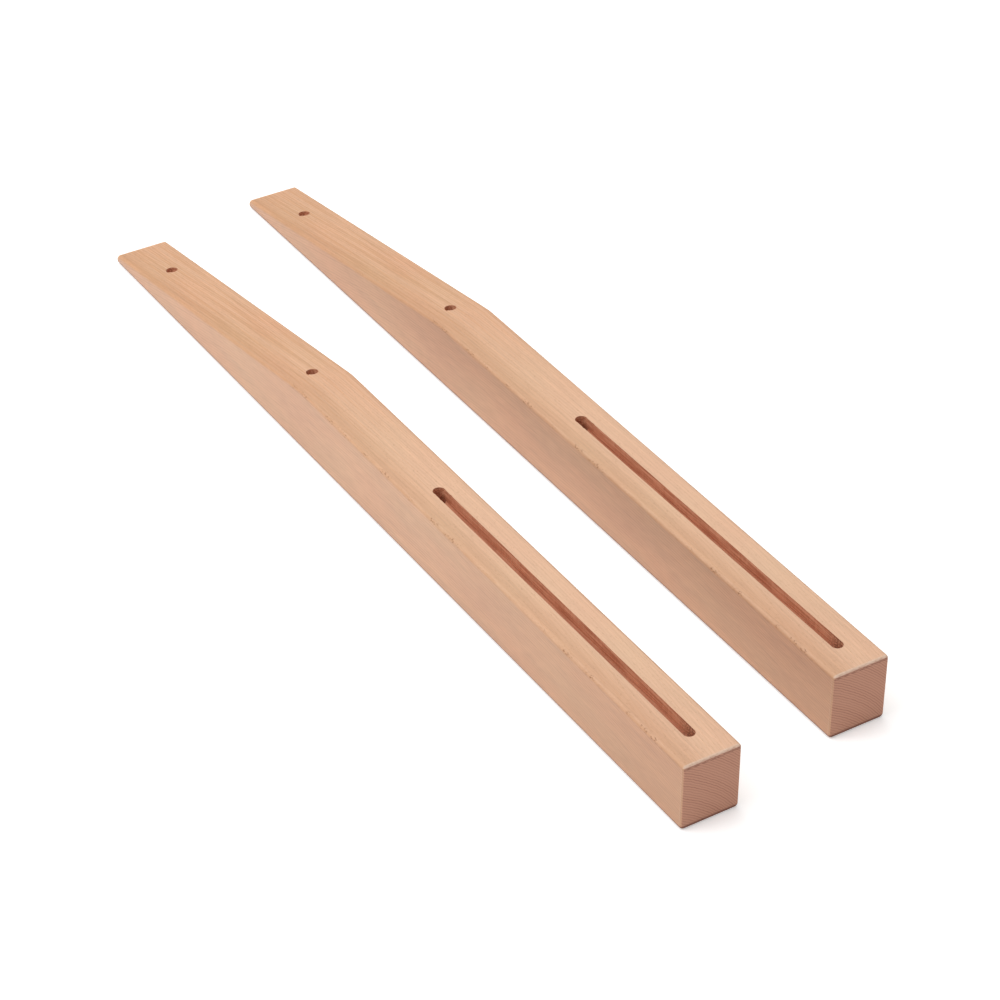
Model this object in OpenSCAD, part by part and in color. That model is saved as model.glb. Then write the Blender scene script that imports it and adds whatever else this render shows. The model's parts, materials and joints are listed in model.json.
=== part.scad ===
// A pair of loom legs. Each leg is one piece of solid beech: a square-ended bar whose top face slopes
// down to a thin end, with a long groove in its flat stretch and two bores through its sloping stretch.
// Each leg lies along Y on its flat underside, with its square end towards -Y.

/* [Leg] */
// Width of a leg, across X
leg_width = 44; // [32:1:60]
// Height of a leg where its top face is flat
leg_height = 51; // [40:1:70]
// Length of a leg, from the square end to the thin end
leg_length = 790; // [640:5:1100]
// Radius of the four long arrises
arris_radius = 3; // [1:0.5:5]

/* [Taper] */
// Length of the flat top face, from the square end to the start of the slope
flat_length = 485; // [380:5:560]
// Height of a leg at its thin end
tip_height = 7; // [6:0.5:14]

/* [Groove] */
// Width of the groove in the flat top face
groove_width = 8.5; // [6:0.5:12]
// Depth of the groove
groove_depth = 8.5; // [5:0.5:20]
// Distance from the square end to the centre of the groove's near round end
groove_inset = 26; // [12:1:60]
// Length of the groove between the centres of its round ends
groove_run = 300; // [150:5:330]
// How far the plunge bore at the groove's depth lies from the through bore at its far end
plunge_offset = 9; // [6:0.5:20]

/* [Bores] */
// Diameter of the bores, which clear an 8 mm bolt
bore_diameter = 9; // [6:0.5:12]
// Distance from the thin end to the upper bore
upper_bore_inset = 54; // [20:1:90]
// Distance from the start of the slope to the lower bore
lower_bore_inset = 21; // [12:1:80]

/* [Pair] */
// Clear gap between the two legs
leg_gap = 86; // [10:1:560]
// How far the right leg lies ahead of the left one
leg_lead = 22; // [0:1:80]

/* [Hidden] */

$fn = 64;
overshoot = 5;
slope_angle = atan2(leg_height - tip_height, leg_length - flat_length);
slope_length = (leg_length - flat_length) / cos(slope_angle);
slope_bar_height = 2 * leg_height + flat_length * tan(slope_angle);
upper_bore_y = leg_length - upper_bore_inset;
lower_bore_y = flat_length + lower_bore_inset;
end_bore_y = groove_inset + groove_run;
pair_width = 2 * leg_width + leg_gap;
pair_length = leg_length + leg_lead;
beech = [0.86, 0.69, 0.56];

// Height of the sloping face at a distance y from the square end
function slope_z(y) = leg_height - (y - flat_length) * tan(slope_angle);

// Rectangle with rounded corners, with its lower left corner at the origin
module rounded_section(width, height, radius) {
    translate([radius, 0]) square([width - 2 * radius, height]);
    translate([0, radius]) square([width, height - 2 * radius]);
    for (x = [radius, width - radius], y = [radius, height - radius])
        translate([x, y]) circle(r = radius);
}

// Bar along +Y with four rounded long arrises
module bar(length, height) {
    translate([0, length, 0])
        rotate([90, 0, 0])
            linear_extrude(length) rounded_section(leg_width, height, arris_radius);
}

// Tall bar whose top face is the leg's sloping face, drawn past the leg below and at both ends
module slope_bar() {
    translate([0, flat_length, leg_height])
        rotate([-slope_angle, 0, 0])
            translate([0, -leg_length, -slope_bar_height])
                bar(leg_length + slope_length + leg_height, slope_bar_height);
}

// Long groove with round ends, open at the top
module groove_cut() {
    translate([leg_width / 2, 0, leg_height - groove_depth])
        linear_extrude(groove_depth + overshoot) {
            translate([-groove_width / 2, groove_inset]) square([groove_width, groove_run]);
            for (y = [groove_inset, end_bore_y]) translate([0, y]) circle(d = groove_width);
        }
}

// Through bore at the groove's far end, and the plunge bore beside it at the groove's depth
module groove_bores() {
    translate([leg_width / 2, end_bore_y, -overshoot])
        cylinder(d = bore_diameter, h = leg_height + 2 * overshoot);
    translate([leg_width / 2, end_bore_y - plunge_offset, leg_height - groove_depth])
        cylinder(d = bore_diameter, h = groove_depth + overshoot);
}

// Through bore square to the sloping face
module slope_bore(y) {
    translate([leg_width / 2, y, slope_z(y)])
        rotate([-slope_angle, 0, 0])
            translate([0, 0, -2 * leg_height])
                cylinder(d = bore_diameter, h = 2 * leg_height + overshoot);
}

// One leg, with the lower left corner of its square end at the origin
module leg() {
    difference() {
        intersection() {
            bar(leg_length, leg_height);
            slope_bar();
        }
        groove_cut();
        groove_bores();
        slope_bore(upper_bore_y);
        slope_bore(lower_bore_y);
    }
}

module left_leg() {
    color(beech) translate([-pair_width / 2, -pair_length / 2, 0]) leg();
}

module right_leg() {
    color(beech) translate([pair_width / 2 - leg_width, leg_lead - pair_length / 2, 0]) leg();
}

left_leg();
right_leg();
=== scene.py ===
"""Finishes a pair of beech loom legs: the eased, routed and bored wood of both legs, and a plain stage."""
import json
import math

import bmesh
import bpy
from bpy.props import FloatProperty, FloatVectorProperty, PointerProperty
from mathutils import Matrix, Vector


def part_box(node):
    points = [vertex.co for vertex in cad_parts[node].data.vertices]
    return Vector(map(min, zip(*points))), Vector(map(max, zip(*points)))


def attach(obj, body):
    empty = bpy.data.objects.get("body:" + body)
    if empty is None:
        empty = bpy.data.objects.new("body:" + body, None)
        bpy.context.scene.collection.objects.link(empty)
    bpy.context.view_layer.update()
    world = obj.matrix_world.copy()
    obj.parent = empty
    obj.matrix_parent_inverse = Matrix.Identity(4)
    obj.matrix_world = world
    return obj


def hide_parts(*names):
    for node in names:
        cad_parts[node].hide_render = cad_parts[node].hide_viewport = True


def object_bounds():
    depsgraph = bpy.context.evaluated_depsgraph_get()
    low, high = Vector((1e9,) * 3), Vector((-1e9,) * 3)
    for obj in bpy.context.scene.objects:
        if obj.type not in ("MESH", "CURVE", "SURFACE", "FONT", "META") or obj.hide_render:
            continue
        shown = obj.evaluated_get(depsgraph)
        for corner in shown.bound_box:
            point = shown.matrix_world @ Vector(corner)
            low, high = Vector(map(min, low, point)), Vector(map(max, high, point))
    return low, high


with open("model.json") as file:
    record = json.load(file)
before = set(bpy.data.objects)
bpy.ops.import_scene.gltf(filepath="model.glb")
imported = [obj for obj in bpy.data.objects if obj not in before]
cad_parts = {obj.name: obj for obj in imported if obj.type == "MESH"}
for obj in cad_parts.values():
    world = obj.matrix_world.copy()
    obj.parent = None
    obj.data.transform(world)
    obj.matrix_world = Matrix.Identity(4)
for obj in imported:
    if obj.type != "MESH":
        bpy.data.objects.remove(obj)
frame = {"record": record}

bl_info = {
    "name": "Loom legs in beech",
    "version": (1, 0, 0),
    "blender": (4, 5, 0),
    "location": "3D View > Sidebar > Loom legs",
    "description": "Builds a pair of tapered beech loom legs and a plain stage for them",
    "category": "Add Mesh",
}

MM = 0.001
CAD_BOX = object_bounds()
MOUNTS = {mount["name"]: mount for mount in frame["record"]["mounts"]}
LEGS = ("left_leg", "right_leg")
GRAIN_PLACE = "grain_place"     # mesh attribute: where a point was in the plank, in millimetres
PLANED, ROUTED = 0, 1           # the two material slots of a leg


# --------------------------------------------------------------------------------------------------
# Sizes from the frame
# --------------------------------------------------------------------------------------------------

def in_leg(point):
    """A point of the frame, in millimetres from the left leg's own corner."""
    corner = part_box("left_leg")[0]
    return Vector([(a - b) / MM for a, b in zip(point, corner)])


WIDTH, LENGTH, HEIGHT = in_leg(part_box("left_leg")[1])
SEAT = MOUNTS["left_seat"]
SEAT_PLACE = in_leg(SEAT["pos_m"])
SLOPE = SEAT["axis"][1] / SEAT["axis"][2]                   # fall of the sloping face along the leg
CREST = SEAT_PLACE.y - (HEIGHT - SEAT_PLACE.z) / SLOPE      # where the slope starts
GROOVE_FAR = in_leg(MOUNTS["left_groove_bore"]["pos_m"]).y              # centres of the groove's
GROOVE_NEAR = 2 * in_leg(MOUNTS["left_groove"]["pos_m"]).y - GROOVE_FAR     # two round ends


# --------------------------------------------------------------------------------------------------
# Settings
# --------------------------------------------------------------------------------------------------

def srgb(code):
    """A linear colour from an sRGB hex value."""
    parts = [int(code[i:i + 2], 16) / 255 for i in (1, 3, 5)]
    return tuple(c / 12.92 if c <= 0.04045 else ((c + 0.055) / 1.055) ** 2.4 for c in parts)


class LegShape(bpy.types.PropertyGroup):
    """Sizes of the wood that the finish adds to the frame."""

    arris_radius: FloatProperty(
        name="Long arris", description="Radius of the four long arrises",
        default=3.0 * MM, min=1.0 * MM, max=5.0 * MM, subtype="DISTANCE", unit="LENGTH")
    foot_easing: FloatProperty(
        name="Square end easing", description="Radius sanded on the arrises of the square end",
        default=1.8 * MM, min=0.2 * MM, max=2.5 * MM, subtype="DISTANCE", unit="LENGTH")
    tip_easing: FloatProperty(
        name="Thin end easing", description="Radius sanded on the arrises of the thin end",
        default=0.5 * MM, min=0.2 * MM, max=1.0 * MM, subtype="DISTANCE", unit="LENGTH")
    rim_easing: FloatProperty(
        name="Rim easing", description="Width sanded on the rims of the groove and the bores",
        default=0.35 * MM, min=0.1 * MM, max=1.0 * MM, subtype="DISTANCE", unit="LENGTH")
    crest_blend: FloatProperty(
        name="Crest blend", description="Half the length of the soft bend where the slope starts",
        default=5.0 * MM, min=1.0 * MM, max=15.0 * MM, subtype="DISTANCE", unit="LENGTH")
    groove_width: FloatProperty(
        name="Groove width", description="Width of the routed groove",
        default=8.5 * MM, min=6.0 * MM, max=12.0 * MM, subtype="DISTANCE", unit="LENGTH")
    groove_depth: FloatProperty(
        name="Groove depth", description="Depth of the routed groove",
        default=8.5 * MM, min=5.0 * MM, max=20.0 * MM, subtype="DISTANCE", unit="LENGTH")
    plunge_offset: FloatProperty(
        name="Plunge offset", description="From the groove's through bore to its plunge bore",
        default=9.0 * MM, min=6.0 * MM, max=20.0 * MM, subtype="DISTANCE", unit="LENGTH")


class BeechLook(bpy.types.PropertyGroup):
    """Colours and figure of steamed beech, sanded and left bare."""

    ring_width: FloatProperty(
        name="Ring width", description="Mean width of a growth ring",
        default=1.8 * MM, min=0.8 * MM, max=4.0 * MM, subtype="DISTANCE", unit="LENGTH")
    early: FloatVectorProperty(
        name="Early wood", description="Pale wood between the growth lines",
        default=srgb("#E0B595"), size=3, min=0.0, max=1.0, subtype="COLOR")
    late: FloatVectorProperty(
        name="Late wood", description="Darker growth lines",
        default=srgb("#CB9870"), size=3, min=0.0, max=1.0, subtype="COLOR")
    # Partly painted shade: darker than the top wood for the weaker light on the sides, besides their own
    # greyer tone.
    side: FloatVectorProperty(
        name="Side wood", description="Greyer pink of the leg's sides",
        default=srgb("#C3987B"), size=3, min=0.0, max=1.0, subtype="COLOR")
    arris: FloatVectorProperty(
        name="Arris", description="Honey brown of the handled arrises",
        default=srgb("#C19069"), size=3, min=0.0, max=1.0, subtype="COLOR")
    end_pale: FloatVectorProperty(
        name="End grain, pale", description="Early wood on the sawn ends",
        default=srgb("#BE8A72"), size=3, min=0.0, max=1.0, subtype="COLOR")
    end_dark: FloatVectorProperty(
        name="End grain, dark", description="Late wood on the sawn ends",
        default=srgb("#99644F"), size=3, min=0.0, max=1.0, subtype="COLOR")
    fleck: FloatVectorProperty(
        name="Fleck", description="Small brown ray flecks, and the specks on the arrises",
        default=srgb("#8A5A34"), size=3, min=0.0, max=1.0, subtype="COLOR")
    # Painted highlight: pale colour laid along the eased arrises of the ends, where light catches them.
    painted_rim_highlight: FloatVectorProperty(
        name="Fuzz", description="Pale torn fibre along the eased arrises of the ends",
        default=srgb("#F0D2BB"), size=3, min=0.0, max=1.0, subtype="COLOR")
    # Partly painted contact shadow: this dark brown darkens the lower arrises where the leg meets the
    # floor; elsewhere it is the saw's exit line and the router's scorch.
    brown_and_contact_shade: FloatVectorProperty(
        name="Rubbed wood", description="Dark brown of the lower arrises, where a leg stands",
        default=srgb("#6B3D2A"), size=3, min=0.0, max=1.0, subtype="COLOR")
    routed_pale: FloatVectorProperty(
        name="Routed wood, pale", description="Wood rubbed warm by the router bit and the drill",
        default=srgb("#E3A682"), size=3, min=0.0, max=1.0, subtype="COLOR")
    routed_dark: FloatVectorProperty(
        name="Routed wood, dark", description="Wood browned by the router bit and the drill",
        default=srgb("#BB7657"), size=3, min=0.0, max=1.0, subtype="COLOR")
    # Painted shade: darkens the groove's floor, which takes more light from above than its walls.
    groove_floor_shade: FloatVectorProperty(
        name="Groove floor", description="Wood burnished brown by the tip of the router bit",
        default=srgb("#A8674A"), size=3, min=0.0, max=1.0, subtype="COLOR")


class StageSetup(bpy.types.PropertyGroup):
    """Floor, lights and camera."""

    azimuth: FloatProperty(
        name="Azimuth", description="Turn of the camera round the legs; 0 looks along +Y",
        default=math.radians(-31.7), subtype="ANGLE", unit="ROTATION")
    elevation: FloatProperty(
        name="Elevation", description="Height of the camera above the horizon",
        default=math.radians(35.7), subtype="ANGLE", unit="ROTATION")
    distance: FloatProperty(
        name="Distance", description="From the camera to the point that it aims at",
        default=2.117, min=0.5, max=10.0, subtype="DISTANCE", unit="LENGTH")
    lens: FloatProperty(
        name="Lens", description="Focal length of the camera, in millimetres",
        default=109.7, min=20.0, max=300.0)
    aim: FloatVectorProperty(
        name="Aim", description="Where the camera aims, from the middle of the pair",
        default=(-0.0165, -0.0805, 0.0), size=3, subtype="TRANSLATION", unit="LENGTH")
    floor_size: FloatProperty(
        name="Floor", description="Side of the square floor",
        default=30.0, min=2.0, max=60.0, subtype="DISTANCE", unit="LENGTH")
    floor_colour: FloatVectorProperty(
        name="Floor colour", description="Colour of the painted floor",
        default=srgb("#FBFBFA"), size=3, min=0.0, max=1.0, subtype="COLOR")
    key_power: FloatProperty(
        name="Key light", description="Power of the big soft light overhead, in watts",
        default=83.0, min=0.0, max=2000.0)
    side_power: FloatProperty(
        name="Side light", description="Power of the soft light at the left, in watts",
        default=39.0, min=0.0, max=2000.0)
    sky: FloatProperty(
        name="Sky", description="Strength of the even white surround",
        default=0.40, min=0.0, max=5.0)


# --------------------------------------------------------------------------------------------------
# Beech
# --------------------------------------------------------------------------------------------------

def add(tree, kind, inputs=None, **settings):
    """Adds a node with its settings, and links or fills its inputs, named or numbered."""
    made = tree.nodes.new(kind)
    for name, value in settings.items():
        setattr(made, name, value)
    for key, value in (inputs or {}).items():
        named = [socket for socket in made.inputs if socket.enabled and socket.name == key]
        target = named[0] if named else made.inputs[key]
        if isinstance(value, bpy.types.Node):
            value = next(socket for socket in value.outputs if socket.enabled)
        if isinstance(value, bpy.types.NodeSocket):
            tree.links.new(value, target)
        else:
            target.default_value = value
    return made


def empty_material(name):
    """A new material with no nodes in it, and its tree."""
    material = bpy.data.materials.new(name)
    material.use_nodes = True
    material.node_tree.nodes.clear()
    return material, material.node_tree


def mix(tree, factor, first, second, how="MIX"):
    """Two colours in one, as a paint mix or as another blend."""
    return add(tree, "ShaderNodeMix", {"Factor": factor, "A": first, "B": second},
               data_type="RGBA", blend_type=how)


def grains(tree, place, size_mm, detail=2.0):
    """Soft noise, 0 to 1, whose grains measure size_mm along x, y and z of the plank."""
    scale = tuple(1.0 / size for size in size_mm)
    scaled = add(tree, "ShaderNodeVectorMath", {0: place, 1: scale}, operation="MULTIPLY")
    return add(tree, "ShaderNodeTexNoise", {"Vector": scaled, "Scale": 1.0, "Detail": detail})


def growth_rings(tree, place, x, y, z, ring_mm):
    """Late wood at a point, 0 to 1, from rings round a pith that bows gently along the plank.

    The pith runs outside the leg, below it and to its left, so the rings show as fine arched lines on
    the sides, as wider streaks along the top and as slanting arcs on the ends.
    """
    pith = (-90.0, 0.0, -110.0)     # the pith opposite the crown of its bow
    crown, bow_radius = 360.0, 1900.0
    drift = 0.06                    # how far the pith strays sideways per millimetre of length
    lean = 0.0035                   # growth of the radius with the square of x, in 1/mm
    wander_mm, ripple_mm = 5.0, 1.3
    along = add(tree, "ShaderNodeMath", {0: y, 1: crown}, operation="SUBTRACT")
    bow = add(tree, "ShaderNodeMath", {0: along, 1: along}, operation="MULTIPLY")
    up = add(tree, "ShaderNodeMath", {0: bow, 1: 0.5 / bow_radius, 2: z}, operation="MULTIPLY_ADD")
    across = add(tree, "ShaderNodeMath", {0: y, 1: drift, 2: x}, operation="MULTIPLY_ADD")
    spoke = add(tree, "ShaderNodeCombineXYZ", {"X": across, "Z": up})
    spoke = add(tree, "ShaderNodeVectorMath", {0: spoke, 1: pith}, operation="SUBTRACT")
    radius = add(tree, "ShaderNodeVectorMath", {0: spoke}, operation="LENGTH")
    square = add(tree, "ShaderNodeMath", {0: x, 1: x}, operation="MULTIPLY")
    radius = add(tree, "ShaderNodeMath", {0: square, 1: lean, 2: radius}, operation="MULTIPLY_ADD")
    wander = grains(tree, place, (60.0, 260.0, 60.0), detail=1.0)
    radius = add(tree, "ShaderNodeMath", {0: wander, 1: wander_mm, 2: radius},
                 operation="MULTIPLY_ADD")
    ripple = grains(tree, place, (4.0, 70.0, 4.0))
    radius = add(tree, "ShaderNodeMath", {0: ripple, 1: ripple_mm, 2: radius},
                 operation="MULTIPLY_ADD")
    count = add(tree, "ShaderNodeMath", {0: radius, 1: ring_mm}, operation="DIVIDE")
    phase = add(tree, "ShaderNodeMath", {0: count}, operation="FRACT")
    number = add(tree, "ShaderNodeMath", {0: count}, operation="FLOOR")
    year = add(tree, "ShaderNodeTexWhiteNoise", {"W": number}, noise_dimensions="1D")
    strength = add(tree, "ShaderNodeMapRange", {"Value": year, "To Min": 0.5, "To Max": 1.0})
    profile = add(tree, "ShaderNodeValToRGB", {"Fac": phase})
    ramp = profile.color_ramp
    ramp.interpolation = "EASE"
    ramp.elements[0].color = (0.15, 0.15, 0.15, 1.0)
    ramp.elements[1].color = (0.15, 0.15, 0.15, 1.0)
    ramp.elements.new(0.45).color = (0.0, 0.0, 0.0, 1.0)
    ramp.elements.new(0.88).color = (1.0, 1.0, 1.0, 1.0)
    return add(tree, "ShaderNodeMath", {0: profile, 1: strength}, operation="MULTIPLY")


def face_masks(tree, x, y, z):
    """Where a point lies on the leg.

    Gives its depth below the top face in millimetres, and then, each 0 to 1, whether it is on a side, on
    a long arris, on a sawn end and on an end's eased rim, where a highlight is painted.
    """
    side_gap = add(tree, "ShaderNodeMath", {0: x, 1: WIDTH / 2}, operation="PINGPONG")
    end_gap = add(tree, "ShaderNodeMath", {0: y, 1: LENGTH / 2}, operation="PINGPONG")
    past = add(tree, "ShaderNodeMath", {0: y, 1: CREST}, operation="SUBTRACT")
    past = add(tree, "ShaderNodeMath", {0: past, 1: 0.0}, operation="MAXIMUM")
    top = add(tree, "ShaderNodeMath", {0: past, 1: -SLOPE, 2: HEIGHT}, operation="MULTIPLY_ADD")
    top_gap = add(tree, "ShaderNodeMath", {0: top, 1: z}, operation="SUBTRACT")
    flat_gap = add(tree, "ShaderNodeMath", {0: top_gap, 1: z}, operation="MINIMUM")
    both = add(tree, "ShaderNodeMath", {0: side_gap, 1: flat_gap}, operation="MAXIMUM")
    side = add(tree, "ShaderNodeMapRange",
               {"Value": side_gap, "From Min": 0.9, "From Max": 0.1}, interpolation_type="SMOOTHSTEP")
    arris = add(tree, "ShaderNodeMapRange",
                {"Value": both, "From Min": 3.0, "From Max": 1.2}, interpolation_type="SMOOTHSTEP")
    end = add(tree, "ShaderNodeMapRange",
              {"Value": end_gap, "From Min": 0.7, "From Max": 0.05}, interpolation_type="SMOOTHSTEP")
    # Below, the band of painted highlight along the eased rims of the ends.
    upright_lead = 1.6      # millimetres by which the rim is narrower on the upright arrises
    side_rim = add(tree, "ShaderNodeMath", {0: side_gap, 1: upright_lead}, operation="ADD")
    near_rim = add(tree, "ShaderNodeMath", {0: top_gap, 1: side_rim}, operation="MINIMUM")
    near_rim = add(tree, "ShaderNodeMath", {0: near_rim, 1: end_gap}, operation="MAXIMUM")
    painted_rim_highlight = add(tree, "ShaderNodeMapRange",
               {"Value": near_rim, "From Min": 1.9, "From Max": 1.0, "To Max": 0.8},
               interpolation_type="SMOOTHSTEP")
    return top_gap, side, arris, end, painted_rim_highlight


def long_grain(tree, look, place, x, y, late, side, sloped):
    """Colour of the faces along the fibres, from their growth lines.

    The lines are faint near the square end, and the slope cuts them longer, warmer and plainer.
    """
    ribbons = grains(tree, place, (2.0, 260.0, 26.0), detail=3.0)
    ribbons = add(tree, "ShaderNodeMapRange", {"Value": ribbons, "From Min": 0.42, "From Max": 0.6})
    flat_lines = add(tree, "ShaderNodeMath", {0: late, 1: 0.26}, operation="MULTIPLY")
    slope_lines = add(tree, "ShaderNodeMath", {0: late, 1: 0.6, 2: 0.36}, operation="MULTIPLY_ADD")
    slope_lines = add(tree, "ShaderNodeMath", {0: ribbons, 1: 0.42, 2: slope_lines},
                      operation="MULTIPLY_ADD")
    lines = add(tree, "ShaderNodeMix", {"Factor": sloped, "A": flat_lines, "B": slope_lines},
                data_type="FLOAT")
    colour = mix(tree, lines, (*look.early, 1.0), (*look.late, 1.0))

    # The left of the top face, next to its arris, was nearest the bark and is browner.
    barkward = add(tree, "ShaderNodeMapRange",
                   {"Value": x, "From Min": 22.0, "From Max": 2.0, "To Max": 0.5},
                   interpolation_type="SMOOTHSTEP")
    colour = mix(tree, barkward, colour, (*look.arris, 1.0))

    # The side colour is darker than the top: partly the sides' own greyer tone, partly painted shade for
    # the weaker light on them. The sides redden and darken towards the square end.
    side_lines = add(tree, "ShaderNodeMapRange", {"Value": late, "To Min": 1.03, "To Max": 0.86})
    side_wood = mix(tree, 1.0, (*look.side, 1.0), side_lines, "MULTIPLY")
    footward = add(tree, "ShaderNodeMapRange", {"Value": y, "From Min": 320.0, "From Max": 0.0})
    footward = mix(tree, footward, (0.98, 0.98, 0.98, 1.0), (0.88, 0.83, 0.78, 1.0))
    side_wood = mix(tree, 1.0, side_wood, footward, "MULTIPLY")
    return mix(tree, side, colour, side_wood)


def fibre_tones(tree, place, colour, bundles, fibres):
    """A colour made lighter and darker by its fibres, and pinker and yellower in wide zones."""
    tone = add(tree, "ShaderNodeMath", {0: bundles, 1: fibres}, operation="ADD")
    tone = add(tree, "ShaderNodeMapRange",
               {"Value": tone, "From Min": 0.65, "From Max": 1.35, "To Min": 0.89, "To Max": 1.1})
    zones = grains(tree, place, (40.0, 90.0, 30.0), detail=1.0)
    zone_tint = mix(tree, zones, (1.03, 0.96, 0.96, 1.0), (0.97, 1.04, 1.03, 1.0))
    colour = mix(tree, 1.0, colour, tone, "MULTIPLY")
    return mix(tree, 1.0, colour, zone_tint, "MULTIPLY")


def flecks_and_wear(tree, look, place, colour, side, arris, sloped):
    """A colour with ray flecks, handled arrises and the specks on them."""
    # Ray flecks, 0.4 mm wide and 2 mm long, plainest on the top.
    flecks = grains(tree, place, (0.45, 2.4, 0.45), detail=0.0)
    flecks = add(tree, "ShaderNodeMapRange",
                 {"Value": flecks, "From Min": 0.68, "From Max": 0.78, "To Max": 0.22})
    flecks = add(tree, "ShaderNodeMath", {0: side, 1: -0.2, 2: flecks}, operation="MULTIPLY_ADD",
                 use_clamp=True)
    colour = mix(tree, flecks, colour, (*look.fleck, 1.0))

    # Arrises are handled: browner in patches, with clusters of small dark specks.
    patches = grains(tree, place, (2.5, 16.0, 2.5))
    patches = add(tree, "ShaderNodeMapRange",
                  {"Value": patches, "From Min": 0.35, "From Max": 0.65, "To Min": 0.1, "To Max": 0.55})
    arris_part = add(tree, "ShaderNodeMath", {0: arris, 1: patches}, operation="MULTIPLY")
    colour = mix(tree, arris_part, colour, (*look.arris, 1.0))
    clusters = grains(tree, place, (30.0, 14.0, 30.0), detail=1.0)
    clusters = add(tree, "ShaderNodeMapRange", {"Value": clusters, "From Min": 0.5, "From Max": 0.64})
    specks = grains(tree, place, (0.8, 2.2, 0.8), detail=1.0)
    specks = add(tree, "ShaderNodeMapRange",
                 {"Value": specks, "From Min": 0.54, "From Max": 0.66, "To Max": 0.8})
    plain = add(tree, "ShaderNodeMath", {0: sloped, 1: -0.6, 2: 1.0}, operation="MULTIPLY_ADD")
    for mask in (clusters, arris, plain):
        specks = add(tree, "ShaderNodeMath", {0: specks, 1: mask}, operation="MULTIPLY")
    return mix(tree, specks, colour, (*look.fleck, 1.0))


def sawn_ends(tree, look, place, colour, late, saw, top_gap, end, painted_rim_highlight):
    """A colour with both sawn ends: arcs of late wood crossed by saw marks, and a painted highlight on
    their eased arrises.
    """
    end_wood = mix(tree, late, (*look.end_pale, 1.0), (*look.end_dark, 1.0))
    saw_tone = add(tree, "ShaderNodeMapRange", {"Value": saw, "To Min": 0.86, "To Max": 1.14})
    end_wood = mix(tree, 1.0, end_wood, saw_tone, "MULTIPLY")
    colour = mix(tree, end, colour, end_wood)

    # Painted highlight: a broken pale band along the eased arrises of the ends, over the broken brown line
    # of the saw's exit.
    highlight_breaks = grains(tree, place, (3.0, 1.5, 1.5))
    highlight_breaks = add(tree, "ShaderNodeMapRange",
                {"Value": highlight_breaks, "From Min": 0.35, "From Max": 0.6, "To Min": 0.5, "To Max": 1.0})
    painted_rim_highlight = add(tree, "ShaderNodeMath", {0: painted_rim_highlight, 1: highlight_breaks}, operation="MULTIPLY")
    colour = mix(tree, painted_rim_highlight, colour, (*look.painted_rim_highlight, 1.0))
    exit_depth, exit_spread = 2.6, 0.9      # millimetres below the top, and either side of that
    line = add(tree, "ShaderNodeMath", {0: top_gap, 1: exit_depth, 2: exit_spread},
               operation="COMPARE")
    broken = grains(tree, place, (3.0, 3.0, 0.8))
    broken = add(tree, "ShaderNodeMapRange",
                 {"Value": broken, "From Min": 0.4, "From Max": 0.54, "To Max": 0.5})
    line = add(tree, "ShaderNodeMath", {0: line, 1: broken}, operation="MULTIPLY")
    line = add(tree, "ShaderNodeMath", {0: line, 1: end}, operation="MULTIPLY")
    return mix(tree, line, colour, (*look.brown_and_contact_shade, 1.0))


def planed_beech(look):
    """Beech, planed and sanded fine, unvarnished: a matt, even, pinkish wood.

    To the eye it has fine growth lines, small brown ray flecks, a soft shine along the handled arrises
    and darker, rougher end grain with the marks of the saw.
    """
    material, tree = empty_material("Beech, planed and sanded")
    where = add(tree, "ShaderNodeAttribute", attribute_type="GEOMETRY", attribute_name=GRAIN_PLACE)
    place = where.outputs["Vector"]
    x, y, z = add(tree, "ShaderNodeSeparateXYZ", {0: place}).outputs
    late = growth_rings(tree, place, x, y, z, look.ring_width / MM)
    top_gap, side, arris, end, painted_rim_highlight = face_masks(tree, x, y, z)
    plain_until, plainly_sloped_from = 260.0, 620.0     # millimetres from the square end
    sloped = add(tree, "ShaderNodeMapRange",
                 {"Value": y, "From Min": plain_until, "From Max": plainly_sloped_from},
                 interpolation_type="SMOOTHSTEP")

    # Bundles of fibre 1.6 mm wide and 90 mm long, single fibres drawn much wider than real ones so
    # that they show, and saw marks 0.9 mm wide and 0.24 mm high, the same at every depth in the leg.
    bundles = grains(tree, place, (1.6, 90.0, 8.0))
    fibres = grains(tree, place, (0.35, 14.0, 1.2))
    saw_marks_per_mm = (1.1, 0.0, 4.2)
    saw = add(tree, "ShaderNodeVectorMath", {0: place, 1: saw_marks_per_mm}, operation="MULTIPLY")
    saw = add(tree, "ShaderNodeTexNoise", {"Vector": saw, "Scale": 1.0, "Detail": 2.0})

    colour = long_grain(tree, look, place, x, y, late, side, sloped)
    colour = fibre_tones(tree, place, colour, bundles, fibres)
    colour = flecks_and_wear(tree, look, place, colour, side, arris, sloped)
    colour = sawn_ends(tree, look, place, colour, late, saw, top_gap, end, painted_rim_highlight)

    # Painted contact shadow: the lower arrises are darkened where the leg stands on the floor.
    brown_and_contact_shade = add(tree, "ShaderNodeMapRange",
                 {"Value": z, "From Min": 3.4, "From Max": 2.0, "To Max": 0.9})
    colour = mix(tree, brown_and_contact_shade, colour, (*look.brown_and_contact_shade, 1.0))

    roughness = add(tree, "ShaderNodeMapRange", {"Value": bundles, "To Min": 0.52, "To Max": 0.66})
    roughness = add(tree, "ShaderNodeMath", {0: arris, 1: -0.12, 2: roughness},
                    operation="MULTIPLY_ADD")
    roughness = add(tree, "ShaderNodeMath", {0: end, 1: 0.22, 2: roughness},
                    operation="MULTIPLY_ADD")
    relief = add(tree, "ShaderNodeMath", {0: fibres, 1: bundles}, operation="ADD")
    relief = add(tree, "ShaderNodeMix", {"Factor": end, "A": relief, "B": saw}, data_type="FLOAT")
    bump = add(tree, "ShaderNodeBump", {"Height": relief, "Strength": 0.35, "Distance": 0.08 * MM})
    shader = add(tree, "ShaderNodeBsdfPrincipled",
                 {"Base Color": colour, "Roughness": roughness, "IOR": 1.5, "Normal": bump})
    add(tree, "ShaderNodeOutputMaterial", {"Surface": shader})
    return material


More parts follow.
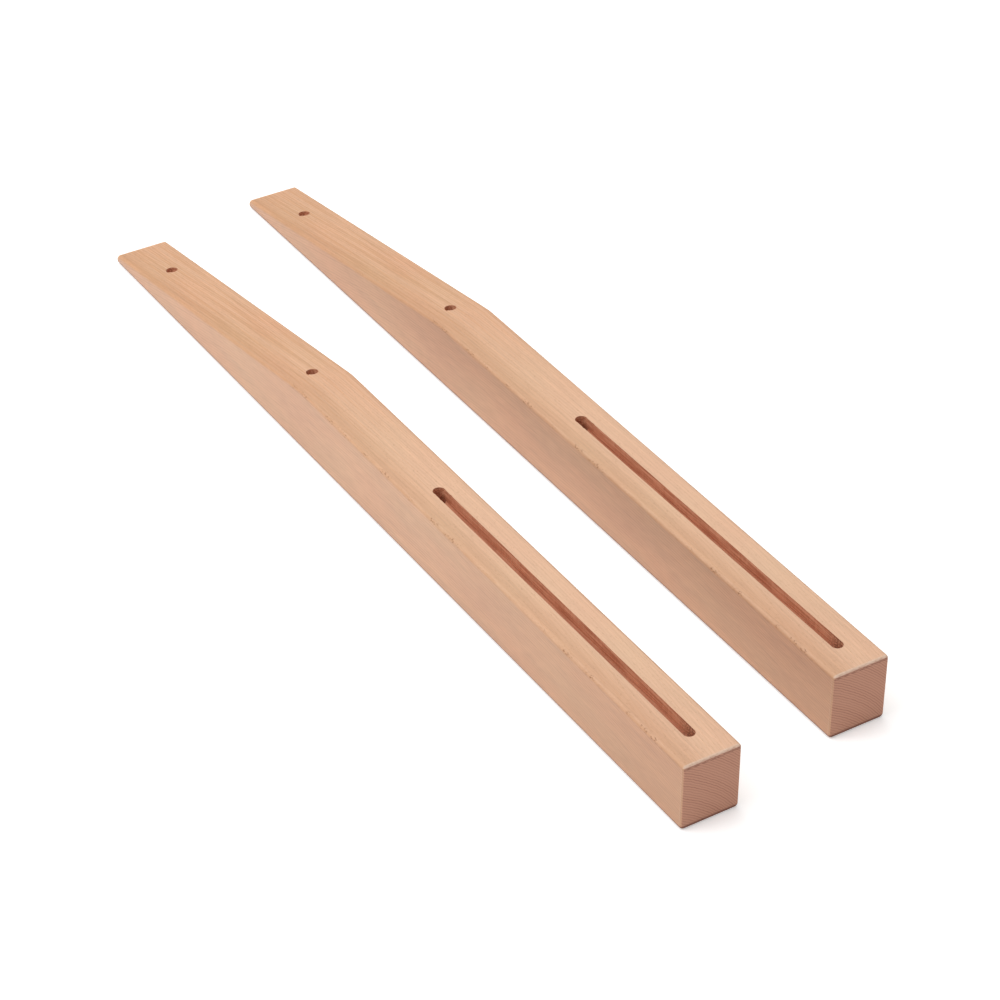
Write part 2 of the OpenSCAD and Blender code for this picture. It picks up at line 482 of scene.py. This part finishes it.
def routed_beech(look, floor_z, near_y):
    """Beech cut across and along its fibres by a router bit and a drill, and left as cut.

    To the eye it is redder and browner than the planed faces, with a burnished streak here and there
    and the faint upright chatter marks of the bit. The groove's floor, at floor_z, is browner: painted
    shade that evens the floor, lit more from above, with its walls and darkens the crease at their foot.
    The bit has scorched a little where it stopped, at near_y.
    """
    material, tree = empty_material("Beech, routed and bored")
    where = add(tree, "ShaderNodeAttribute", attribute_type="GEOMETRY", attribute_name=GRAIN_PLACE)
    place = where.outputs["Vector"]
    streaks = grains(tree, place, (0.9, 26.0, 0.9))
    chatter = grains(tree, place, (1.0, 1.6, 12.0))
    burnt = add(tree, "ShaderNodeMath", {0: chatter, 1: 0.25, 2: streaks}, operation="MULTIPLY_ADD")
    burnt = add(tree, "ShaderNodeMapRange", {"Value": burnt, "From Min": 0.5, "From Max": 0.75})
    colour = mix(tree, burnt, (*look.routed_pale, 1.0), (*look.routed_dark, 1.0))
    _, y, z = add(tree, "ShaderNodeSeparateXYZ", {0: place}).outputs
    floor_spread, floor_shade_share = 0.3, 0.55       # millimetres either side, and how much it browns
    # Painted shade: the groove's floor and the foot of its walls are browned, evening the floor's stronger
    # light with the walls.
    floor = add(tree, "ShaderNodeMath", {0: z, 1: floor_z, 2: floor_spread}, operation="COMPARE")
    floor = add(tree, "ShaderNodeMath", {0: floor, 1: floor_shade_share}, operation="MULTIPLY")
    colour = mix(tree, floor, colour, (*look.groove_floor_shade, 1.0))
    scorch = add(tree, "ShaderNodeMapRange",
                 {"Value": y, "From Min": near_y + 16.0, "From Max": near_y + 4.0, "To Max": 0.7})
    specks = grains(tree, place, (0.9, 1.3, 0.9))
    specks = add(tree, "ShaderNodeMapRange", {"Value": specks, "From Min": 0.44, "From Max": 0.54})
    scorch = add(tree, "ShaderNodeMath", {0: scorch, 1: specks}, operation="MULTIPLY")
    colour = mix(tree, scorch, colour, (*look.brown_and_contact_shade, 1.0))
    roughness = add(tree, "ShaderNodeMapRange", {"Value": burnt, "To Min": 0.7, "To Max": 0.48})
    bump = add(tree, "ShaderNodeBump", {"Height": chatter, "Strength": 0.4, "Distance": 0.1 * MM})
    shader = add(tree, "ShaderNodeBsdfPrincipled",
                 {"Base Color": colour, "Roughness": roughness, "IOR": 1.5, "Normal": bump})
    add(tree, "ShaderNodeOutputMaterial", {"Surface": shader})
    return material


# --------------------------------------------------------------------------------------------------
# Leg
# --------------------------------------------------------------------------------------------------

def object_from(bm, name, material):
    """A new object from a bmesh, in one material."""
    bmesh.ops.recalc_face_normals(bm, faces=bm.faces)
    mesh = bpy.data.meshes.new(name)
    bm.to_mesh(mesh)
    bm.free()
    mesh.materials.append(material)
    made = bpy.data.objects.new(name, mesh)
    bpy.context.scene.collection.objects.link(made)
    return made


def skin(bm, loops):
    """Skins a row of closed loops of points, and caps both ends."""
    rows = [[bm.verts.new(point) for point in loop] for loop in loops]
    for row, after in zip(rows, rows[1:]):
        for i in range(len(row)):
            j = (i + 1) % len(row)
            bm.faces.new((row[i], row[j], after[j], after[i]))
    bm.faces.new(rows[0])
    bm.faces.new(rows[-1])


def top_height(y, blend):
    """Height of the top face at a distance y from the square end, with a soft bend at the crest."""
    past = y - CREST
    if past <= -blend:
        return HEIGHT
    if past >= blend:
        return HEIGHT - past * SLOPE
    return HEIGHT - SLOPE * (past + blend) ** 2 / (4 * blend)


def section(y, height, radius, inset):
    """The leg's outline across its length at y: a rectangle with round corners, drawn in by inset."""
    steps = 7
    curve = radius - inset
    left, right, top = inset + curve, WIDTH - inset - curve, height - inset - curve
    points = []
    for x, z, start in ((left, left, 180), (right, left, 270), (right, top, 0), (left, top, 90)):
        for step in range(steps + 1):
            turn = math.radians(start + 90 * step / steps)
            points.append((x + curve * math.cos(turn), y, z + curve * math.sin(turn)))
    return points


def easing_steps(radius):
    """(distance from the end, inset) down the quarter round of an eased end."""
    steps = 4
    turns = [math.radians(90 * step / steps) for step in range(steps + 1)]
    return [(radius * (1 - math.cos(turn)), radius * (1 - math.sin(turn))) for turn in turns]


def planed_blank(shape, wood):
    """The leg before it is routed and bored, in millimetres from its own corner."""
    radius, blend = shape.arris_radius / MM, shape.crest_blend / MM
    foot = easing_steps(shape.foot_easing / MM)
    steps = 3       # on each side of the crest
    bend = [(CREST + blend * step / steps, 0.0) for step in range(-steps, steps + 1)]
    tip = [(LENGTH - gap, inset) for gap, inset in reversed(easing_steps(shape.tip_easing / MM))]
    bm = bmesh.new()
    skin(bm, [section(y, top_height(y, blend), radius, inset) for y, inset in foot + bend + tip])
    return object_from(bm, "blank", wood)


def drill(radius, mouth, axis, depth, wood):
    """A drill's path: a cylinder from a little above its mouth to a depth below it."""
    above = 5.0
    bm = bmesh.new()
    turn = Vector((0, 0, 1)).rotation_difference(axis).to_matrix().to_4x4()
    place = Matrix.Translation(mouth) @ turn @ Matrix.Translation((0, 0, (above - depth) / 2))
    bmesh.ops.create_cone(bm, cap_ends=True, segments=72, radius1=radius, radius2=radius,
                          depth=above + depth, matrix=place)
    return object_from(bm, "drill", wood)


def router(half_width, near, far, depth, wood):
    """A router bit's path: a long prism with round ends, open at the top."""
    above, steps = 5.0, 36
    outline = []
    for y, start in ((near, 180), (far, 0)):
        for step in range(steps + 1):
            turn = math.radians(start + 180 * step / steps)
            outline.append((WIDTH / 2 + half_width * math.cos(turn), y + half_width * math.sin(turn)))
    bm = bmesh.new()
    skin(bm, [[(x, y, z) for x, y in outline] for z in (HEIGHT - depth, HEIGHT + above)])
    return object_from(bm, "router", wood)


def torn_fibres(mouth, axis, size, wood):
    """A shallow scoop at a bore's rim, where the drill has lifted a few fibres."""
    bm = bmesh.new()
    turn = Vector((0, 0, 1)).rotation_difference(axis).to_matrix().to_4x4()
    place = Matrix.Translation(mouth) @ turn @ Matrix.Diagonal((*size, 1.0))
    bmesh.ops.create_uvsphere(bm, u_segments=28, v_segments=16, radius=1.0, matrix=place)
    return object_from(bm, "torn fibres", wood)


def tool_paths(shape, wood):
    """Everything that the router and the drill take out of a blank."""
    depth = shape.groove_depth / MM
    upright = Vector((0, 0, 1))
    radius = MOUNTS["left_groove_bore"]["dims"]["r_mm"]
    mouth = Vector((WIDTH / 2, GROOVE_FAR, HEIGHT))
    plunge = mouth - Vector((0, shape.plunge_offset / MM, 0))
    paths = [
        router(shape.groove_width / MM / 2, GROOVE_NEAR, GROOVE_FAR, depth, wood),
        drill(radius, mouth, upright, 2 * HEIGHT, wood),
        drill(radius, plunge, upright, depth, wood),
    ]
    scoop = (0.9, 1.6, 0.6)                             # half its width, length and depth
    off_centre = Vector((-0.95, -0.25, 0.25 * SLOPE))   # of the scoop, in radii of the bore
    for name in ("left_lower_bore", "left_upper_bore"):
        bore = MOUNTS[name]
        axis = Vector(bore["axis"])
        radius = bore["dims"]["r_mm"]
        mouth = in_leg(bore["pos_m"])
        paths.append(drill(radius, mouth, axis, 2 * HEIGHT, wood))
        paths.append(torn_fibres(mouth + off_centre * radius, axis, scoop, wood))
    return paths


def cut_out(blank, paths):
    """Takes the tools' paths out of the blank, and gives the mesh that is left."""
    for path in paths:
        step = blank.modifiers.new(path.name, "BOOLEAN")
        step.operation = "DIFFERENCE"
        step.solver = "EXACT"
        step.object = path
        step.material_mode = "TRANSFER"
    depsgraph = bpy.context.evaluated_depsgraph_get()
    mesh = bpy.data.meshes.new_from_object(blank.evaluated_get(depsgraph))
    for spent in (*paths, blank):
        old = spent.data
        bpy.data.objects.remove(spent)
        bpy.data.meshes.remove(old)
    return mesh


def ease_rims(bm, width):
    """Sands a small round on every sharp rim between a planed face and a routed wall."""
    sharp = math.radians(35)
    rims = []
    for edge in bm.edges:
        slots = {face.material_index for face in edge.link_faces}
        if slots == {PLANED, ROUTED} and edge.calc_face_angle(0.0) > sharp:
            rims.append(edge)
    bmesh.ops.bevel(bm, geom=rims, offset=width, offset_type="OFFSET", segments=2, profile=0.5,
                    affect="EDGES", clamp_overlap=True, material=PLANED)


def shade_smooth(bm):
    """Smooth shading everywhere, broken only at real corners."""
    corner = math.radians(32)
    for face in bm.faces:
        face.smooth = True
    for edge in bm.edges:
        edge.smooth = edge.calc_face_angle(0.0) < corner


def build_leg(name, shape, planed, routed):
    """One finished leg in its place: blank, tool paths, eased rims and the grain's own coordinates."""
    mesh = cut_out(planed_blank(shape, planed), tool_paths(shape, routed))
    mesh.name = f"{name}_wood"
    bm = bmesh.new()
    bm.from_mesh(mesh)
    weld = 0.002
    bmesh.ops.remove_doubles(bm, verts=bm.verts, dist=weld)
    bmesh.ops.dissolve_degenerate(bm, edges=bm.edges, dist=weld)
    ease_rims(bm, shape.rim_easing / MM)
    shade_smooth(bm)
    corner = Vector(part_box(name)[0])
    grain = bm.verts.layers.float_vector.new(GRAIN_PLACE)
    for vert in bm.verts:
        vert[grain] = vert.co
        vert.co = corner + vert.co * MM
    bm.to_mesh(mesh)
    bm.free()
    leg = bpy.data.objects.new(f"{name}_wood", mesh)
    bpy.context.scene.collection.objects.link(leg)
    even = leg.modifiers.new("Even shading", "WEIGHTED_NORMAL")
    even.keep_sharp = True
    return leg


class LOOMLEGS_OT_legs(bpy.types.Operator):
    """Build both legs of solid beech in place of the plain ones"""

    bl_idname = "loom_legs.legs"
    bl_label = "Legs"
    bl_options = {"REGISTER", "UNDO"}

    def execute(self, context):
        scene = context.scene
        planed = planed_beech(scene.beech_look)
        routed = routed_beech(scene.beech_look, HEIGHT - scene.leg_shape.groove_depth / MM, GROOVE_NEAR)
        for name in LEGS:
            leg = build_leg(name, scene.leg_shape, planed, routed)
            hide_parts(name)
            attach(leg, name)
        return {"FINISHED"}


# --------------------------------------------------------------------------------------------------
# Stage
# --------------------------------------------------------------------------------------------------

def floor_paint(stage):
    """Matt white studio paint, rolled: even and pale, with the faint stipple of the roller.

    It also gives off a little light of its own, so that the ground reads as white.
    """
    stipple_size, glow = 2.5 * MM, 0.35
    material, tree = empty_material("White floor paint, rolled")
    where = add(tree, "ShaderNodeTexCoord")
    stipple = add(tree, "ShaderNodeTexNoise",
                  {"Vector": where.outputs["Object"], "Scale": 1.0 / stipple_size, "Detail": 1.0})
    roughness = add(tree, "ShaderNodeMapRange", {"Value": stipple, "To Min": 0.85, "To Max": 0.95})
    bump = add(tree, "ShaderNodeBump", {"Height": stipple, "Strength": 0.05, "Distance": 0.1 * MM})
    shader = add(tree, "ShaderNodeBsdfPrincipled",
                 {"Base Color": (*stage.floor_colour, 1.0), "Roughness": roughness, "Normal": bump,
                  "Emission Color": (1.0, 1.0, 1.0, 1.0), "Emission Strength": glow})
    add(tree, "ShaderNodeOutputMaterial", {"Surface": shader})
    return material


def build_floor(stage):
    """A flat square floor just under the legs."""
    clearance = 0.2 * MM
    bm = bmesh.new()
    bmesh.ops.create_grid(bm, x_segments=1, y_segments=1, size=stage.floor_size / 2,
                          matrix=Matrix.Translation((0, 0, -clearance)))
    object_from(bm, "floor", floor_paint(stage))


def soft_light(name, place, aim, size, power, colour):
    """A square soft light at a place, turned to the point that it lights."""
    lamp = bpy.data.lights.new(name, "AREA")
    lamp.shape = "SQUARE"
    lamp.size = size
    lamp.energy = power
    lamp.color = colour
    light = bpy.data.objects.new(name, lamp)
    light.location = place
    light.rotation_euler = (aim - place).to_track_quat("-Z", "Y").to_euler()
    bpy.context.scene.collection.objects.link(light)


def build_camera(stage, middle):
    """The camera, turned by the stage's azimuth and elevation round the point it aims at."""
    across = math.cos(stage.elevation)
    back = Vector((math.sin(stage.azimuth) * across, -math.cos(stage.azimuth) * across,
                   math.sin(stage.elevation)))
    lens = bpy.data.cameras.new("camera")
    lens.sensor_width = 36.0
    lens.lens = stage.lens
    lens.clip_start, lens.clip_end = 0.05, 60.0
    camera = bpy.data.objects.new("camera", lens)
    camera.location = middle + Vector(stage.aim) + back * stage.distance
    camera.rotation_euler = back.to_track_quat("Z", "Y").to_euler()
    bpy.context.scene.collection.objects.link(camera)
    bpy.context.scene.camera = camera


class LOOMLEGS_OT_stage(bpy.types.Operator):
    """Make the floor, the soft lights and the camera"""

    bl_idname = "loom_legs.stage"
    bl_label = "Stage"
    bl_options = {"REGISTER", "UNDO"}

    def execute(self, context):
        scene = context.scene
        stage = scene.stage_setup
        low, high = (Vector(corner) for corner in CAD_BOX)
        middle = (low + high) / 2
        build_floor(stage)
        overhead, overhead_size = Vector((-0.4, 1.2, 3.0)), 4.0     # metres, from the middle
        left, left_size = Vector((-2.4, 0.4, 2.4)), 2.0
        white, cool_white = (1.0, 1.0, 1.0), (0.94, 0.97, 1.0)
        soft_light("overhead light", middle + overhead, middle, overhead_size,
                   stage.key_power, white)
        soft_light("left light", middle + left, middle, left_size, stage.side_power, cool_white)
        build_camera(stage, middle)
        world = bpy.data.worlds.new("even white surround")
        world.use_nodes = True
        surround = world.node_tree.nodes["Background"].inputs
        surround["Color"].default_value = (1.0, 1.0, 1.0, 1.0)
        surround["Strength"].default_value = stage.sky
        scene.world = world
        scene.view_settings.view_transform = "Standard"
        return {"FINISHED"}


# --------------------------------------------------------------------------------------------------
# Add-on
# --------------------------------------------------------------------------------------------------

class LOOMLEGS_PT_sidebar(bpy.types.Panel):
    """The legs and their stage in the 3D view's sidebar"""

    bl_idname = "LOOMLEGS_PT_sidebar"
    bl_label = "Loom legs"
    bl_space_type = "VIEW_3D"
    bl_region_type = "UI"
    bl_category = "Loom legs"

    def draw(self, context):
        scene = context.scene
        for operator, groups in (
            (LOOMLEGS_OT_stage, (scene.stage_setup,)),
            (LOOMLEGS_OT_legs, (scene.leg_shape, scene.beech_look)),
        ):
            box = self.layout.box()
            for group in groups:
                for name in group.__annotations__:
                    box.prop(group, name)
            box.operator(operator.bl_idname)


CLASSES = (LegShape, BeechLook, StageSetup, LOOMLEGS_OT_stage, LOOMLEGS_OT_legs, LOOMLEGS_PT_sidebar)


def register():
    for each in CLASSES:
        bpy.utils.register_class(each)
    bpy.types.Scene.leg_shape = PointerProperty(type=LegShape)
    bpy.types.Scene.beech_look = PointerProperty(type=BeechLook)
    bpy.types.Scene.stage_setup = PointerProperty(type=StageSetup)


def unregister():
    del bpy.types.Scene.stage_setup
    del bpy.types.Scene.beech_look
    del bpy.types.Scene.leg_shape
    for each in reversed(CLASSES):
        bpy.utils.unregister_class(each)


def main():
    register()
    bpy.ops.loom_legs.stage()
    bpy.ops.loom_legs.legs()


if __name__ == "__main__":
    main()
